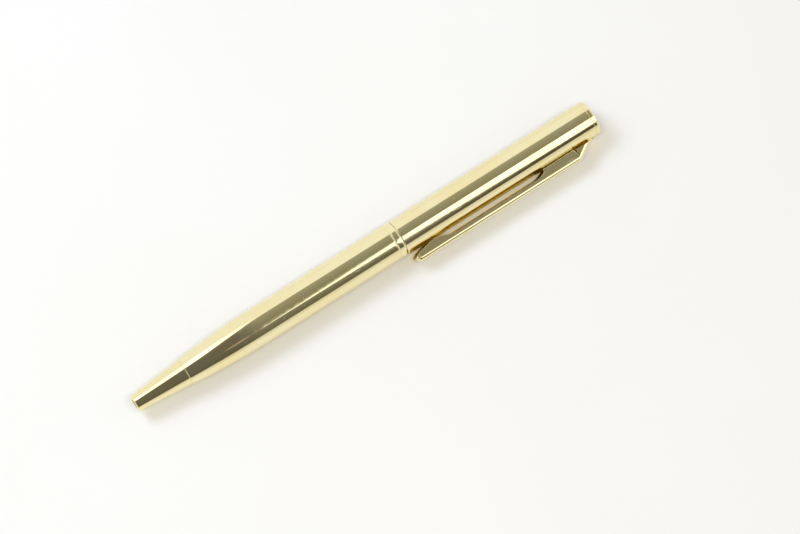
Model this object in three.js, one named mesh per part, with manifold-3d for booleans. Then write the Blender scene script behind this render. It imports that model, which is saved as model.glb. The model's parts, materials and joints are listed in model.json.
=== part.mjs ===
// A mini twist-action ballpoint pen of gold-plated brass, lying on its barrel and clip.
// Millimetres. Each piece is drawn in pen coordinates: local Y runs along the axis from the
// nose to the cap, local X points from the axis to the clip, and local Z is across the clip.
import * as THREE from 'three';
import { mergeVertices } from 'three/addons/utils/BufferGeometryUtils.js';
import Module from 'manifold-3d';

const wasm = await Module();
wasm.setup();

// Lengths of the outer pieces along the axis
const noseLength = 11.9;
const lowerBarrelLength = 49.35;
const ringLength = 1.55;
const upperBarrelLength = 46.05;
const capHeadLength = 1.1;
const taperLength = 18.1;

// Radii and walls of the outer pieces
const barrelRadius = 3.9;
const barrelWall = 0.45;
const mouthRadius = 2.93;
const mouthStep = 0.13;
const noseTipRadius = 1.78;
const noseHoleRadius = 1.25;
const noseRimRound = 0.3;
const noseHoleDepth = 3;
const noseSpigotLength = 5;
const noseSpigotWall = 0.75;
const edgeRound = 0.15;
const ringRound = 0.2;
const capEdgeRound = 0.45;

// Clearances
const fit = 0.05;
const running = 0.08;
const turnGap = 0.05;

// Refill and its stroke
const refillLength = 67;
const refillRadius = 1.175;
const refillWall = 0.2;
const tipSetback = 1.8;
const stroke = 5;
const twistAngle = Math.PI;
const ballRadius = 0.35;
const ballStandOut = 0.18;
const tipConeLength = 4.6;
const tipCollarLength = 3;
const tipSpigotLength = 3.5;
const tipFrontRadius = 0.5;
const inkChannelRadius = 0.2;
const inkLength = 46;

// Twist mechanism
const holderRadius = 2.1;
const holderSocketDepth = 8;
const holderHeadLength = 7.2;
const pinRadius = 0.5;
const pinSetback = 4.2;
const pinDepth = 0.75;
const pinEndGap = 0.1;
const slotSideGap = 0.1;
const slotEndGap = 0.25;
const sleeveWall = 0.52;
const sleeveTail = 4;
const sleeveCollarLength = 0.5;
const collarRadius = 3.3;
const washerThickness = 0.3;
const bushLength = 9.4;
const rotorWall = 0.32;
const grooveDepth = 0.3;
const grooveLength = 0.5;
const grooveSetback = 2;
const plugSpigotLength = 2.5;
const plugHeadLength = 2.5;
const plugRunOut = 0.3;

// Clip, folded from one sheet
const sheet = 0.4;
const clipHalfWidth = 2.3;
const clipEdgeRound = 0.95;
const clipTipRound = 1.05;
const clipTipGap = 0.45;
const clipTipHeight = 6.35;
const clipBendHeight = 6.2;
const clipRootLength = 5.6;
const rootAngle = THREE.MathUtils.degToRad(33);
const rimHeight = 1.3;
const finLength = 9.4;
const finPeak = 5.3;
const finClearance = 0.15;
const cutOutEnd = 7.9;
const cutOutCurve = 2.5;
const wallGap = 0.1;
const notchWidth = 0.45;
const notchDepth = 1.2;
const tangHalfWidth = 1.2;
const tangSideGap = 0.15;
const tangEndGap = 0.3;
const tabSetback = 1.7;
const eyeRadius = 1.05;
const eyeRim = 1.15;

// Cap fixing
const screwRadius = 0.8;
const screwEndGap = 0.3;
const capHoleDepth = 0.2;
const capPlugLength = 6;
const pocketBelowTab = 0.35;
const pocketAboveTab = 0.15;

// Facets of the turned pieces
const shellSegments = 48;
const innerSegments = 24;
const arcSteps = 8;
const roundSteps = 3;

// Places along the axis that more than one piece shares
const noseEnd = noseLength;
const lowerEnd = noseEnd + lowerBarrelLength;
const ringEnd = lowerEnd + ringLength;
const upperStart = ringEnd + turnGap;
const upperEnd = upperStart + upperBarrelLength;
const penLength = upperEnd + capHeadLength;
const refillEnd = tipSetback + refillLength;
const pinPlace = refillEnd + pinSetback;
const holderStart = refillEnd - holderSocketDepth;
const holderEnd = refillEnd + holderHeadLength;
const bushStart = lowerEnd - bushLength;
const collarEnd = ringEnd + sleeveCollarLength;
const washerStart = collarEnd + turnGap;
const washerEnd = washerStart + washerThickness;
const rotorStart = washerEnd + turnGap;
const sleeveEnd = holderEnd + sleeveTail;
const grooveStart = sleeveEnd - grooveSetback;
const grooveEnd = grooveStart + grooveLength;
const rotorEnd = sleeveEnd + plugRunOut + plugSpigotLength;
const plugEnd = rotorEnd + plugHeadLength;
const tabStart = upperEnd - tabSetback;
const tabEnd = tabStart + sheet;
const capPlugEnd = tabStart - pocketBelowTab;
const capPlugStart = capPlugEnd - capPlugLength;
const capSpigotStart = tabEnd + pocketAboveTab;
const clipTip = ringEnd + clipTipGap;
const clipBend = upperEnd - clipRootLength;
const slotLow = pinPlace - stroke - pinRadius - slotEndGap;
const slotHigh = pinPlace + pinRadius + slotEndGap;

// Radii that more than one piece shares
const barrelBore = barrelRadius - barrelWall;
const mouthBore = mouthRadius - barrelWall;
const noseEndRadius = mouthRadius - mouthStep;
const sleeveBore = holderRadius + running;
const sleeveRadius = sleeveBore + sleeveWall;
const grooveRadius = sleeveRadius - grooveDepth;
const rotorBore = sleeveRadius + running;
const rotorRadius = rotorBore + rotorWall;
const gripBore = rotorRadius + fit;
const refillBore = refillRadius - refillWall;

// Edges of the clip's side walls, set by the barrel that they stay clear of
const wallEdge = Math.sqrt(barrelRadius ** 2 - (clipHalfWidth - sheet) ** 2) + wallGap;
const gussetEdge = Math.sqrt(barrelRadius ** 2 - tangHalfWidth ** 2) + wallGap;
const finEdge = wallEdge + finClearance;
const spineSlope = (clipBendHeight - clipTipHeight) / (clipBend - clipTip);

// Colours, roughness and metalness of the finishes
const finishes = {
  gold: { color: 0xe3c878, roughness: 0.12, metalness: 1 },
  brass: { color: 0xb8953f, roughness: 0.35, metalness: 1 },
  steel: { color: 0x9aa0a6, roughness: 0.3, metalness: 1 },
  plastic: { color: 0xe6e3da, roughness: 0.5, metalness: 0 },
  rubber: { color: 0x26262a, roughness: 0.8, metalness: 0 },
  ink: { color: 0x14205c, roughness: 0.4, metalness: 0 },
};

// A closed outline in (radius, place) turned about the axis
function turned(outline, segments = innerSegments) {
  const points = outline.map(([radius, place]) => new THREE.Vector2(radius, place));
  const onAxis = outline[0][0] === 0 && outline[outline.length - 1][0] === 0;
  if (!onAxis) points.push(points[0].clone());
  return new THREE.LatheGeometry(points, segments);
}

// A plain tube between two places
function tube(start, end, bore, radius, segments = innerSegments) {
  return turned([[radius, start], [radius, end], [bore, end], [bore, start]], segments);
}

// Points of a round between two directions, about a centre, angles in degrees
function arc(centreRadius, centrePlace, radius, from, to, steps = roundSteps) {
  const points = [];
  for (let i = 0; i <= steps; i += 1) {
    const angle = THREE.MathUtils.degToRad(from + ((to - from) * i) / steps);
    points.push([centreRadius + radius * Math.cos(angle), centrePlace + radius * Math.sin(angle)]);
  }
  return points;
}

// A closed geometry as a solid that can be cut and joined
function solid(geometry) {
  const bare = geometry.clone();
  bare.deleteAttribute('normal');
  bare.deleteAttribute('uv');
  const merged = mergeVertices(bare, 1e-4);
  return new wasm.Manifold(new wasm.Mesh({
    numProp: 3,
    vertProperties: new Float32Array(merged.attributes.position.array),
    triVerts: new Uint32Array(merged.index.array),
  }));
}

// A solid as a geometry
function geometryOf(body) {
  const mesh = body.getMesh();
  const geometry = new THREE.BufferGeometry();
  geometry.setAttribute('position', new THREE.BufferAttribute(new Float32Array(mesh.vertProperties), 3));
  geometry.setIndex(new THREE.BufferAttribute(new Uint32Array(mesh.triVerts), 1));
  geometry.computeVertexNormals();
  return geometry;
}

// A box given by its lowest and highest corners
function block(low, high) {
  const geometry = new THREE.BoxGeometry(high[0] - low[0], high[1] - low[1], high[2] - low[2]);
  return geometry.translate((low[0] + high[0]) / 2, (low[1] + high[1]) / 2, (low[2] + high[2]) / 2);
}

// A closed body through matching rings of points, which turn to the right as they advance
function loft(rings) {
  const count = rings[0].length;
  const positions = rings.flat(2);
  const index = [];
  for (let i = 0; i + 1 < rings.length; i += 1) {
    for (let j = 0; j < count; j += 1) {
      const a = i * count + j;
      const b = i * count + ((j + 1) % count);
      index.push(a, a + count, b, b, a + count, b + count);
    }
  }
  const last = (rings.length - 1) * count;
  for (let j = 1; j + 1 < count; j += 1) {
    index.push(0, j, j + 1);
    index.push(last, last + j + 1, last + j);
  }
  const geometry = new THREE.BufferGeometry();
  geometry.setAttribute('position', new THREE.Float32BufferAttribute(positions, 3));
  geometry.setIndex(index);
  return geometry;
}

// A side outline, drawn as (height, place), given a width across the clip
function plate(shape, halfWidth, round = 0) {
  const geometry = new THREE.ExtrudeGeometry(shape, {
    depth: 2 * (halfWidth - round),
    curveSegments: arcSteps,
    bevelEnabled: round > 0,
    bevelSize: round,
    bevelThickness: round,
    bevelOffset: -round,
    bevelSegments: roundSteps,
  });
  return geometry.translate(0, 0, round - halfWidth);
}

// The lower barrel's outer radius: an arc that runs out into the straight tube
function taperRadius(place) {
  const drop = barrelRadius - mouthRadius;
  const arcRadius = (taperLength ** 2 + drop ** 2) / (2 * drop);
  const left = Math.max(0, noseEnd + taperLength - place);
  return barrelRadius - arcRadius + Math.sqrt(arcRadius ** 2 - left ** 2);
}

function noseCone() {
  const rim = noseTipRadius - noseRimRound;
  const spigotRadius = mouthBore - fit;
  const spigotEnd = noseEnd + noseSpigotLength;
  const counterBore = spigotRadius - noseSpigotWall;
  return turned([
    [noseHoleRadius, 0],
    ...arc(rim, noseRimRound, noseRimRound, -90, 0),
    [noseEndRadius, noseEnd],
    [spigotRadius, noseEnd],
    [spigotRadius, spigotEnd],
    [counterBore, spigotEnd],
    [counterBore, noseHoleDepth + counterBore - noseHoleRadius],
    [noseHoleRadius, noseHoleDepth],
  ], shellSegments);
}

function lowerBarrel() {
  const outer = [];
  const inner = [];
  for (let i = 1; i <= arcSteps; i += 1) {
    const place = noseEnd + (taperLength * i) / arcSteps;
    outer.push([taperRadius(place), place]);
    if (place > noseEnd + noseSpigotLength + 1) inner.push([taperRadius(place) - barrelWall, place]);
  }
  const seatEnd = noseEnd + noseSpigotLength + 1;
  return turned([
    ...arc(mouthRadius - edgeRound, noseEnd + edgeRound, edgeRound, -90, 0),
    ...outer,
    ...arc(barrelRadius - edgeRound, lowerEnd - edgeRound, edgeRound, 0, 90),
    [barrelBore, lowerEnd],
    ...inner.reverse(),
    [mouthBore, seatEnd],
    [mouthBore, noseEnd],
  ], shellSegments);
}

function centreRing() {
  const bore = sleeveRadius + fit;
  return turned([
    [bore, lowerEnd],
    ...arc(barrelRadius - ringRound, lowerEnd + ringRound, ringRound, -90, 0),
    ...arc(barrelRadius - ringRound, ringEnd - ringRound, ringRound, 0, 90),
    [bore, ringEnd],
  ], shellSegments);
}

function barrelBush() {
  return tube(bushStart, lowerEnd, sleeveRadius + fit, barrelBore - fit, shellSegments);
}

// A tube with a collar, an O-ring groove and a straight slot for the pin
function mechanismSleeve() {
  const body = solid(turned([
    [sleeveRadius, bushStart],
    [sleeveRadius, ringEnd],
    [collarRadius, ringEnd],
    [collarRadius, collarEnd],
    [sleeveRadius, collarEnd],
    [sleeveRadius, grooveStart],
    [grooveRadius, grooveStart],
    [grooveRadius, grooveEnd],
    [sleeveRadius, grooveEnd],
    [sleeveRadius, sleeveEnd],
    [sleeveBore, sleeveEnd],
    [sleeveBore, bushStart],
  ]));
  const side = pinRadius + slotSideGap;
  const slot = solid(block([1, slotLow, -side], [collarRadius, slotHigh, side]));
  return geometryOf(body.subtract(slot));
}

function thrustWasher() {
  return tube(washerStart, washerEnd, sleeveRadius + fit, collarRadius);
}

function frictionRing() {
  const low = grooveRadius + fit;
  const high = rotorBore - fit;
  const middle = (grooveStart + grooveEnd) / 2;
  return turned(arc((low + high) / 2, middle, (high - low) / 2, 0, 315, 7));
}

// The helix that drives the pin: half a turn for one stroke, run past the pin at both ends
function helixCutter() {
  const rise = stroke / twistAngle;
  const runOut = (pinRadius + slotEndGap) / rotorBore;
  const slope = Math.atan(rise / rotorBore);
  const half = (pinRadius + slotSideGap) / Math.cos(slope);
  const steps = 2 * innerSegments;
  const rings = [];
  for (let i = 0; i <= steps; i += 1) {
    const angle = -runOut + ((twistAngle + 2 * runOut) * i) / steps;
    const place = pinPlace - rise * angle;
    const corners = [
      [rotorBore - rotorWall, place - half],
      [rotorRadius + rotorWall, place - half],
      [rotorRadius + rotorWall, place + half],
      [rotorBore - rotorWall, place + half],
    ];
    rings.push(corners.map(([radius, y]) => [radius * Math.cos(angle), y, -radius * Math.sin(angle)]));
  }
  return loft(rings);
}

function camRotor() {
  const body = solid(tube(rotorStart, rotorEnd, rotorBore, rotorRadius));
  return geometryOf(body.subtract(solid(helixCutter())));
}

function drivePlug() {
  const spigot = rotorBore - fit;
  return turned([
    [0, rotorEnd - plugSpigotLength],
    [spigot, rotorEnd - plugSpigotLength],
    [spigot, rotorEnd],
    [rotorRadius, rotorEnd],
    [rotorRadius, plugEnd],
    [0, plugEnd],
  ]);
}

function gripSleeve() {
  return tube(rotorStart, plugEnd, gripBore, barrelBore - fit);
}

function refillHolder() {
  const socket = refillRadius + fit;
  const body = solid(turned([
    [0, refillEnd + fit],
    [socket, refillEnd + fit],
    [socket, holderStart],
    [holderRadius, holderStart],
    [holderRadius, holderEnd],
    [0, holderEnd],
  ]));
  const hole = new THREE.CylinderGeometry(pinRadius + fit, pinRadius + fit, holderRadius, innerSegments / 2);
  hole.rotateZ(Math.PI / 2).translate(pinDepth - fit + holderRadius / 2, pinPlace, 0);
  return geometryOf(body.subtract(solid(hole)));
}

function drivePin() {
  const reach = gripBore - pinEndGap - pinDepth;
  const pin = new THREE.CylinderGeometry(pinRadius, pinRadius, reach, innerSegments / 2);
  return pin.rotateZ(Math.PI / 2).translate(pinDepth + reach / 2, pinPlace, 0);
}

// Places along the refill's tip, from the ball back to its spigot
const ballCentre = tipSetback + ballRadius;
const tipFront = tipSetback + ballStandOut;
const coneEnd = tipFront + tipConeLength;
const tipCollarEnd = coneEnd + tipCollarLength;
const tipSpigotEnd = tipCollarEnd + tipSpigotLength;

function refillTip() {
  const socket = ballRadius + fit;
  const lip = Math.sqrt(ballRadius ** 2 - (ballRadius - ballStandOut) ** 2) + fit / 2;
  const spigot = refillBore - fit;
  return turned([
    [lip, tipFront],
    [tipFrontRadius, tipFront],
    [refillRadius, coneEnd],
    [refillRadius, tipCollarEnd],
    [spigot, tipCollarEnd],
    [spigot, tipSpigotEnd],
    [inkChannelRadius, tipSpigotEnd],
    [inkChannelRadius, ballCentre + ballRadius + fit],
    [socket, ballCentre + ballRadius / 2 + fit],
    [socket, ballCentre],
  ]);
}

function refillBall() {
  return new THREE.SphereGeometry(ballRadius, 16, 10).translate(0, ballCentre, 0);
}

function refillTube() {
  return tube(tipCollarEnd, refillEnd, refillBore, refillRadius);
}

function refillInk() {
  const start = tipSpigotEnd + fit;
  const radius = refillBore - fit;
  return turned([[0, start], [radius, start], [radius, start + inkLength], [0, start + inkLength]]);
}

// Where the clip's sloping root crosses a height, on its outer or inner face
function rootPlace(height, depth = 0) {
  return clipBend + (clipBendHeight - depth / Math.cos(rootAngle) - height) / Math.tan(rootAngle);
}

function upperBarrel() {
  const body = solid(turned([
    ...arc(barrelRadius - edgeRound, upperStart + edgeRound, edgeRound, -90, 0),
    [barrelRadius, upperEnd],
    [barrelBore, upperEnd],
    [barrelBore, upperStart],
  ], shellSegments));
  const side = tangHalfWidth + tangSideGap;
  const low = rootPlace(barrelRadius, sheet) - tangEndGap;
  const high = Math.max(rootPlace(barrelBore), tabEnd) + tangEndGap;
  const slot = solid(block([barrelBore - barrelWall, low, -side], [barrelRadius + barrelWall, high, side]));
  return geometryOf(body.subtract(slot));
}

// Height of the spine's outer face at a place
function spineHeight(place) {
  return clipTipHeight + spineSlope * (place - clipTip);
}

// The clip's outer outline from the side, open to well below its walls
function clipOutline() {
  const low = barrelBore - 2;
  const shape = new THREE.Shape();
  shape.moveTo(low, clipTip);
  shape.lineTo(clipTipHeight - clipTipRound, clipTip);
  shape.absarc(clipTipHeight - clipTipRound, clipTip + clipTipRound, clipTipRound, -Math.PI / 2, 0, false);
  shape.lineTo(clipBendHeight, clipBend);
  shape.lineTo(low, rootPlace(low));
  return shape;
}

// The hollow of the channel, one sheet inside the outline
function channelOutline() {
  const low = barrelBore - 2.5;
  const innerBend = clipBend - sheet * Math.tan(rootAngle / 2);
  const shape = new THREE.Shape();
  shape.moveTo(low, clipTip + sheet);
  shape.lineTo(clipTipHeight - sheet, clipTip + sheet);
  shape.lineTo(clipBendHeight - sheet, innerBend);
  shape.lineTo(low, rootPlace(low, sheet));
  return shape;
}

// What is trimmed from the walls: the leaf-shaped fin, the long cut-out, the full-height
// wall, the fold notch and the gusset are what stays above this line
function wallTrim() {
  const left = clipTip - 1;
  const right = upperEnd + 2;
  const low = barrelBore - 3;
  const finEnd = clipTip + finLength;
  const peak = clipTip + finPeak;
  const wallStart = clipBend - cutOutEnd;
  const rimAt = (place) => spineHeight(place) - rimHeight;
  const noseOfFin = clipTipHeight - clipTipRound;
  const finFlank = (finEnd - peak) / 2;
  const shape = new THREE.Shape();
  shape.moveTo(low, left);
  shape.lineTo(noseOfFin, left);
  shape.lineTo(noseOfFin, clipTip);
  shape.bezierCurveTo(finEdge + 1, clipTip + 0.2, finEdge + 0.55, clipTip + 1.8, finEdge + 0.3, peak - 1.8);
  shape.bezierCurveTo(finEdge + 0.12, peak - 1, finEdge, peak - 0.9, finEdge, peak);
  shape.bezierCurveTo(finEdge, peak + finFlank, rimAt(finEnd) - 0.35, finEnd - finFlank, rimAt(finEnd), finEnd);
  shape.lineTo(rimAt(wallStart - cutOutCurve), wallStart - cutOutCurve);
  shape.bezierCurveTo(rimAt(wallStart) - 0.1, wallStart - 0.9, rimAt(wallStart) - 0.7, wallStart, wallEdge + 0.4, wallStart);
  shape.quadraticCurveTo(wallEdge, wallStart, wallEdge, wallStart - 0.2);
  shape.lineTo(wallEdge, clipBend - notchWidth);
  shape.lineTo(clipBendHeight - notchDepth, clipBend);
  shape.lineTo(gussetEdge, clipBend);
  shape.lineTo(gussetEdge, right);
  shape.lineTo(low, right);
  return shape;
}

// The narrow strip that carries on down the slope and through the barrel's slot
function tangOutline() {
  const high = gussetEdge + sheet;
  const shape = new THREE.Shape();
  shape.moveTo(high, rootPlace(high, sheet));
  shape.lineTo(high, rootPlace(high));
  const turnHeight = clipBendHeight - (tabEnd - clipBend) * Math.tan(rootAngle);
  shape.lineTo(turnHeight, tabEnd);
  shape.lineTo(turnHeight - 1, tabEnd);
  shape.lineTo(turnHeight - 1, tabStart);
  shape.lineTo(turnHeight - sheet * Math.tan(rootAngle / 2) / 2, tabStart);
  return shape;
}

// The eye inside the barrel that the cap screw passes through
function clipEye() {
  const outer = eyeRadius + eyeRim;
  const reach = barrelBore - barrelWall;
  const start = Math.asin(tangHalfWidth / outer);
  const shape = new THREE.Shape();
  shape.moveTo(reach, tangHalfWidth);
  shape.lineTo(outer * Math.cos(start), tangHalfWidth);
  shape.absarc(0, 0, outer, start, 2 * Math.PI - start, false);
  shape.lineTo(reach, -tangHalfWidth);
  const hole = new THREE.Path();
  hole.absarc(0, 0, eyeRadius, 0, 2 * Math.PI, true);
  shape.holes.push(hole);
  const eye = new THREE.ExtrudeGeometry(shape, { depth: sheet, curveSegments: 2 * arcSteps, bevelEnabled: false });
  return eye.rotateX(-Math.PI / 2).translate(0, tabStart, 0);
}

function clip() {
  const outer = solid(plate(clipOutline(), clipHalfWidth, clipEdgeRound));
  const channel = solid(plate(channelOutline(), clipHalfWidth - sheet, clipEdgeRound - sheet));
  const trim = solid(plate(wallTrim(), clipHalfWidth + 1));
  const tang = solid(plate(tangOutline(), tangHalfWidth));
  return geometryOf(outer.subtract(channel).subtract(trim).add(tang).add(solid(clipEye())));
}

function capPlug() {
  return tube(capPlugStart, capPlugEnd, screwRadius + fit, barrelBore - fit);
}

function capScrew() {
  const start = capPlugStart + screwEndGap;
  const end = upperEnd + capHoleDepth - fit;
  return turned([[0, start], [screwRadius, start], [screwRadius, end], [0, end]]);
}

function topCap() {
  const hole = screwRadius + fit;
  const spigot = barrelBore - fit;
  return turned([
    [0, upperEnd + capHoleDepth],
    [hole, upperEnd + capHoleDepth],
    [hole, capSpigotStart],
    [spigot, capSpigotStart],
    [spigot, upperEnd],
    ...arc(barrelRadius - edgeRound, upperEnd + edgeRound, edgeRound, -90, 0),
    ...arc(barrelRadius - capEdgeRound, penLength - capEdgeRound, capEdgeRound, 0, 90),
    [0, penLength],
  ], shellSegments);
}

// How the pen lies: its barrel and the edge of its clip both touch the surface
const armReach = clipTipHeight - clipEdgeRound;
const armSide = clipHalfWidth - clipEdgeRound;
const lean = Math.asin((barrelRadius - clipEdgeRound) / Math.hypot(armReach, armSide))
  - Math.atan2(armSide, armReach);
const clipReach = armReach * Math.cos(lean) + armSide * Math.sin(lean) + clipEdgeRound;

const pieces = [
  ['nose_cone', noseCone, 'gold'],
  ['lower_barrel', lowerBarrel, 'gold'],
  ['centre_ring', centreRing, 'gold'],
  ['barrel_bush', barrelBush, 'brass'],
  ['mechanism_sleeve', mechanismSleeve, 'brass'],
  ['thrust_washer', thrustWasher, 'plastic'],
  ['friction_ring', frictionRing, 'rubber'],
  ['cam_rotor', camRotor, 'brass'],
  ['drive_plug', drivePlug, 'plastic'],
  ['grip_sleeve', gripSleeve, 'plastic'],
  ['upper_barrel', upperBarrel, 'gold'],
  ['cap_plug', capPlug, 'brass'],
  ['cap_screw', capScrew, 'steel'],
  ['top_cap', topCap, 'gold'],
  ['clip', clip, 'gold'],
  ['refill_holder', refillHolder, 'plastic'],
  ['drive_pin', drivePin, 'steel'],
  ['refill_tube', refillTube, 'brass'],
  ['refill_tip', refillTip, 'steel'],
  ['refill_ball', refillBall, 'steel'],
  ['refill_ink', refillInk, 'ink'],
];

const group = new THREE.Group();
for (const [name, make, finish] of pieces) {
  const mesh = new THREE.Mesh(make(), new THREE.MeshStandardMaterial(finishes[finish]));
  mesh.name = name;
  group.add(mesh);
}

// The origin is under the middle of the pen, on the surface that it lies on
const toClip = new THREE.Vector3(0, -Math.cos(lean), -Math.sin(lean));
const toCap = new THREE.Vector3(1, 0, 0);
const across = new THREE.Vector3(0, -Math.sin(lean), Math.cos(lean));
group.quaternion.setFromRotationMatrix(new THREE.Matrix4().makeBasis(toClip, toCap, across));
group.position.set(-penLength / 2, (clipReach - barrelRadius) / 2, barrelRadius);

export default group;
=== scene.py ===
import json
import math

import bmesh
import bpy
import numpy as np
from bpy.props import FloatProperty, FloatVectorProperty, IntProperty, PointerProperty
from mathutils import Matrix, Vector


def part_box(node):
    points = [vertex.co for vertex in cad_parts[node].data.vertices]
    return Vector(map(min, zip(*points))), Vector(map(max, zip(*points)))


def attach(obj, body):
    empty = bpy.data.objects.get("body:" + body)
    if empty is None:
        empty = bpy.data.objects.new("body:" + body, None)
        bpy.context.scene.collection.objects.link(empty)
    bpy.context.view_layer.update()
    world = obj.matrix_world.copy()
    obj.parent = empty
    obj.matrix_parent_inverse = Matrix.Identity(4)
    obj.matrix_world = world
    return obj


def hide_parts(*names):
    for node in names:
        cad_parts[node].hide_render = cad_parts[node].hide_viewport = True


bl_info = {
    "name": "Mini ballpoint pen",
    "version": (1, 0, 0),
    "blender": (4, 5, 0),
    "location": "View3D > Sidebar > Pen",
    "description": "Builds a gold-plated mini twist pen and its small studio from a packed frame",
    "category": "Object",
}

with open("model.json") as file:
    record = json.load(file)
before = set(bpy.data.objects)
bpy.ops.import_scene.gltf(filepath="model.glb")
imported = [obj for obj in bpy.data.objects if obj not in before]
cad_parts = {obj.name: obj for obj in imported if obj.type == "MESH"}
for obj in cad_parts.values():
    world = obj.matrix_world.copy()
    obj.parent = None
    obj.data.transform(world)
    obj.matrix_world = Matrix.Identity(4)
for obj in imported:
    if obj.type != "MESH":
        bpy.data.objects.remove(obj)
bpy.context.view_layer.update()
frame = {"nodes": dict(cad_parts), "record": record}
JOINTS = {joint["name"]: joint for joint in frame["record"]["behaviour"]["joints"]}

# Places along the pen, read from the frame, in metres
NOSE_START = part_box("nose_cone")[0][0]
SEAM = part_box("lower_barrel")[0][0]
RING_START, RING_END = (corner[0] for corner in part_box("centre_ring"))
UPPER_START, UPPER_END = (corner[0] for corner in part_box("upper_barrel"))
CAP_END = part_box("top_cap")[1][0]
CAP_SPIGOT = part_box("top_cap")[0][0]
NOSE_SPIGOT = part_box("nose_cone")[1][0]
TIP_START, TIP_END = (corner[0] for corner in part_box("refill_tip"))
TUBE_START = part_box("refill_tube")[0][0]

# The pen's axis, and the directions to the clip and across it
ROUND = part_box("upper_barrel")
AXIS_Y = (ROUND[0][1] + ROUND[1][1]) / 2
AXIS_Z = (ROUND[0][2] + ROUND[1][2]) / 2
ACROSS = Vector(JOINTS["clip_flex"]["axis"]).normalized()
TO_CLIP = ACROSS.cross(Vector((1, 0, 0))).normalized()
if TO_CLIP.y > 0:
    TO_CLIP.negate()

MERGE = 1e-6       # metres: points closer than this at the axis become one
THIN = 1e-7        # metres: edges shorter than this are dissolved
NODES_IN_COLUMN, NODE_WIDTH, NODE_HEIGHT = 6, 200, 180

# The clip's own numbers, in millimetres where they are lengths
MM = 1000.0
WALL_GAP = 0.1     # from the walls' edges to the barrel
DRAWN_IN = 0.13    # how far a wall has drawn in at its edge, and the fin's further gap
SPACING = 0.12     # rows along the fin
FINE = 40          # steps of a fold before it is spaced evenly
FOLD_STEPS = 12    # columns round a fold
WALL_STEPS = (0.3, 0.6, 0.85)
EDGE_ROUND = 0.12  # round of the sheet's edges
TORN = 0.6         # cosine: neighbours that turn further apart than this are mended

# The studio that the metal shows, as linear colours
WARM_STREAK = (0.66, 0.54, 0.46)
PALE_END = (0.82, 0.81, 0.76)
WALL_FOOT = (1.9, 1.9, 1.85)
LIT_TABLE = (0.8, 0.79, 0.765)
SOFTBOX = (1.8, 1.8, 1.77)
BACKDROP = (0.95, 0.95, 0.94)
FILL_TINT = (1.0, 0.98, 0.93)

# The camera at the photograph's viewing angle, in degrees and metres
AZIMUTH, ELEVATION = -33.37, 73.19
DISTANCE = 0.6505


def size(name, description, default):
    return FloatProperty(name=name, description=description, default=default, min=0.0,
                         precision=5, subtype="DISTANCE", unit="LENGTH")


def colour(name, description, default):
    return FloatVectorProperty(name=name, description=description, default=default, size=3,
                               min=0.0, max=1.0, subtype="COLOR")


def degrees(name, description, default):
    return FloatProperty(name=name, description=description, default=math.radians(default),
                         subtype="ANGLE", unit="ROTATION")


def power(name, description, default):
    return FloatProperty(name=name, description=description, default=default, min=0.0,
                         precision=6, unit="POWER")


class PenBarrel(bpy.types.PropertyGroup):
    radius: size("Barrel radius", "Outer radius of the straight tubes", 0.0039)
    wall: size("Wall", "Thickness of the drawn tubes", 0.00045)
    mouth_radius: size("Mouth radius", "Outer radius of the lower barrel at its seam", 0.00293)
    mouth_step: size("Mouth step", "How far the nose stands below the barrel", 0.00013)
    taper_length: size("Taper length", "Length over which the lower barrel swells", 0.0181)
    nose_radius: size("Nose radius", "Outer radius of the writing end", 0.00178)
    hole_radius: size("Nose hole radius", "Radius of the hole that the tip comes out of", 0.00125)
    rim_round: size("Nose rim round", "Round of the writing end", 0.0003)
    edge_round: size("Edge round", "Round of the tube ends", 0.00012)
    ring_round: size("Ring round", "Width of the centre ring's rolled edges", 0.0003)
    cap_round: size("Cap round", "Round of the cap's end", 0.00045)
    facets: IntProperty(name="Facets", description="Faces round a turned piece", default=160,
                        min=24, max=320)


class PenClip(bpy.types.PropertyGroup):
    sheet: size("Sheet", "Thickness of the folded sheet", 0.0004)
    half_width: size("Half width", "Half the clip's width", 0.0023)
    edge_round: size("Fold round", "Outer radius of the long folds", 0.00078)
    tip_round: size("Tip round", "Radius of the free end", 0.00105)
    tip_gap: size("Tip gap", "From the centre ring to the free end", 0.0007)
    tip_height: size("Tip height", "Height of the spine over the axis at the free end", 0.00637)
    bend_height: size("Bend height", "Height of the spine over the axis at the bend", 0.00632)
    root_length: size("Root length", "From the bend to the end of the barrel", 0.0056)
    root_angle: degrees("Root angle", "Slope of the root", 33)
    wall_draft: degrees("Wall draft", "How far the walls draw in", 5.8)
    rim_height: size("Rim height", "Depth of the rim beside the long cut-out", 0.0015)
    fin_length: size("Fin length", "Length of the leaf at the free end", 0.0096)
    fin_peak: size("Fin peak", "From the free end to the leaf's deepest point", 0.0053)
    cut_out_end: size("Cut-out end", "From the end of the cut-out to the bend", 0.0079)
    notch_width: size("Notch width", "Width of the fold notch", 0.00045)
    notch_depth: size("Notch depth", "From the spine to the notch's bottom", 0.00145)
    tang_half_width: size("Tang half width", "Half the width of the strip in the slot", 0.0012)
    tang_gap: size("Tang gap", "Clearance beside the strip in the slot", 0.00015)
    tab_setback: size("Tab setback", "From the end of the barrel to the eye", 0.0017)


class PenFinish(bpy.types.PropertyGroup):
    gold: colour("Gold", "Pale gold plating", (0.9, 0.815, 0.5))
    gold_warm: colour("Warm gold", "Where the plating is a little warmer", (0.9, 0.79, 0.445))
    brass: colour("Brass", "Turned brass inside the pen", (0.72, 0.55, 0.24))
    steel: colour("Steel", "Turned steel", (0.55, 0.56, 0.57))
    plastic: colour("Plastic", "Moulded plastic inside the pen", (0.8, 0.78, 0.72))
    rubber: colour("Rubber", "The friction ring", (0.022, 0.022, 0.025))
    ink: colour("Ink", "Blue oil-based ink", (0.012, 0.02, 0.16))


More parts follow.
